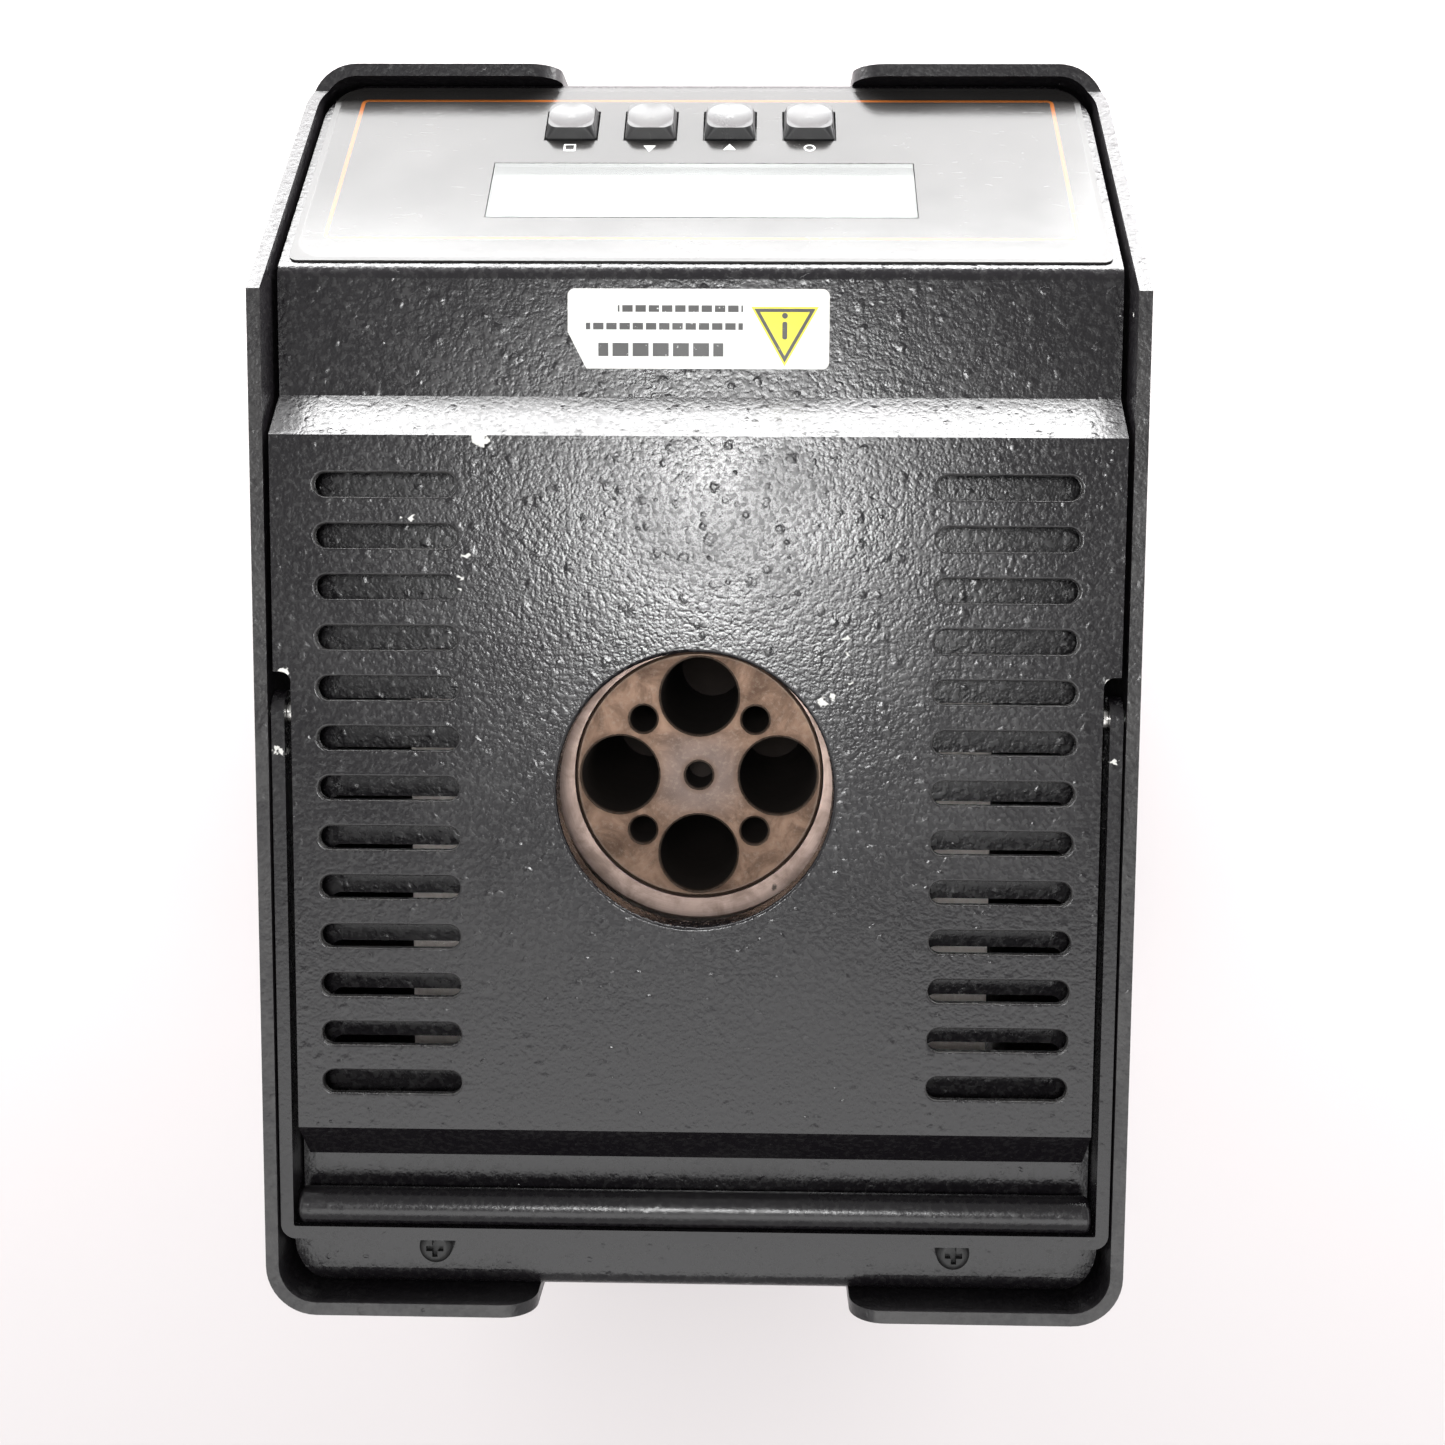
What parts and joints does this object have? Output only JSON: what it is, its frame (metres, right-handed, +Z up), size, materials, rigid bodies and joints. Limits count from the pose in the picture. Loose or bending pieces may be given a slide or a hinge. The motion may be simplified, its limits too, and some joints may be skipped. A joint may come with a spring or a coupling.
{
  "type": "dry block heater",
  "caption": "Bench dry block heater: black folded-steel case with a sloped control panel, slotted top cover, lift-out drilled insert in a deep well and a fold-down carry handle.",
  "frame": {"origin": "middle of the footprint, at the bench the feet stand on", "axes": "+Z up, -Y towards the sloped control panel at the front, +X to the right of someone facing the front"},
  "size_m": [0.127, 0.1912, 0.152],
  "materials": {
    "black_coat": "semi-gloss orange-peel powder coat",
    "insert_bronze": "dull, heat-stained anodising",
    "block_metal": "satin, warm heat tint",
    "screw_steel": "satin",
    "black_screws": "black oxide",
    "rubber": "matt",
    "plated_steel": "zinc plated",
    "overlay": "glossy printed film",
    "window": "clear smoked pane",
    "display": "display glass in a black frame",
    "board": "solder-masked board",
    "black_plastic": "fine moulded",
    "key_plastic": "smooth moulded",
    "label": "printed polyester",
    "insulation": "matt fibre board",
    "core": "laminated",
    "sink": "extruded",
    "relay_blue": "moulded",
    "cap_sleeve": "shrink sleeve",
    "terminal_green": "moulded"
  },
  "bodies": {
    "case": {"side_panel_left": "black_coat", "side_panel_right": "black_coat", "body_shell": "black_coat", "top_cover": "black_coat", "base_pan": "black_coat", "rubber_feet": "rubber", "foot_screws": "screw_steel", "flange_screws": "black_screws", "side_screws": "black_screws", "deck_screws": "black_screws", "rear_bracket": "plated_steel", "handle_screws": "screw_steel", "heater_block": "block_metal", "cartridge_heaters": "screw_steel", "control_sensor": "screw_steel", "cutout_sensor": "screw_steel", "insulation_jacket": "insulation", "insulation_lid": "insulation", "block_spacer": "insulation", "block_tray": "plated_steel", "block_posts": "plated_steel", "post_screws": "screw_steel", "fan_frame": "black_plastic", "fan_guard": "plated_steel", "fan_screws": "black_screws", "front_overlay": "overlay", "display_window": "window", "display_module": "display", "control_board": "board", "panel_standoffs": "plated_steel", "panel_screws": "screw_steel", "key_switches": "black_plastic", "caution_label": "label", "power_inlet": "black_plastic", "power_switch": "black_plastic", "heat_shield": "plated_steel", "shield_screws": "screw_steel", "main_board": "board", "main_standoffs": "plated_steel", "main_board_screws": "screw_steel", "transformer": "core", "heat_sink": "sink", "triac": "black_plastic", "capacitors": "cap_sleeve", "relay": "relay_blue", "terminal_block": "terminal_green"},
    "handle": {"carry_handle": "black_coat"},
    "set_button": {"key_set": "key_plastic"},
    "down_button": {"key_down": "key_plastic"},
    "up_button": {"key_up": "key_plastic"},
    "exit_button": {"key_exit": "key_plastic"},
    "insert": {"block_insert": "insert_bronze"},
    "fan": {"fan_rotor": "black_plastic"},
    "rocker": {"power_rocker": "key_plastic"},
    "drawer": {"fuse_drawer": "black_plastic", "fuse": "window"}
  },
  "joints": [
    {"name": "handle_swing", "type": "hinge", "parent": "case", "child": "handle", "pos_m": [0, 0.0056, 0.1481], "axis": [1, 0, 0], "range_deg": [0, 112]},
    {"name": "set_press", "type": "slide", "parent": "case", "child": "set_button", "axis": [0, 0.7071, -0.7071], "range_m": [0, 0.0008], "stiffness_N_per_m": 900},
    {"name": "down_press", "type": "slide", "parent": "case", "child": "down_button", "axis": [0, 0.7071, -0.7071], "range_m": [0, 0.0008], "stiffness_N_per_m": 900},
    {"name": "up_press", "type": "slide", "parent": "case", "child": "up_button", "axis": [0, 0.7071, -0.7071], "range_m": [0, 0.0008], "stiffness_N_per_m": 900},
    {"name": "exit_press", "type": "slide", "parent": "case", "child": "exit_button", "axis": [0, 0.7071, -0.7071], "range_m": [0, 0.0008], "stiffness_N_per_m": 900},
    {"name": "insert_lift", "type": "slide", "parent": "case", "child": "insert", "axis": [0, 0, 1], "range_m": [0, 0.105]},
    {"name": "fan_spin", "type": "hinge", "parent": "case", "child": "fan", "pos_m": [0, 0.0163, 0.02], "axis": [0, 0, 1], "continuous": true},
    {"name": "rocker_tilt", "type": "hinge", "parent": "case", "child": "rocker", "pos_m": [0, 0.092, 0.104], "axis": [1, 0, 0], "range_deg": [0, 14]},
    {"name": "drawer_pull", "type": "slide", "parent": "case", "child": "drawer", "axis": [0, 1, 0], "range_m": [0, 0.022]}
  ]
}
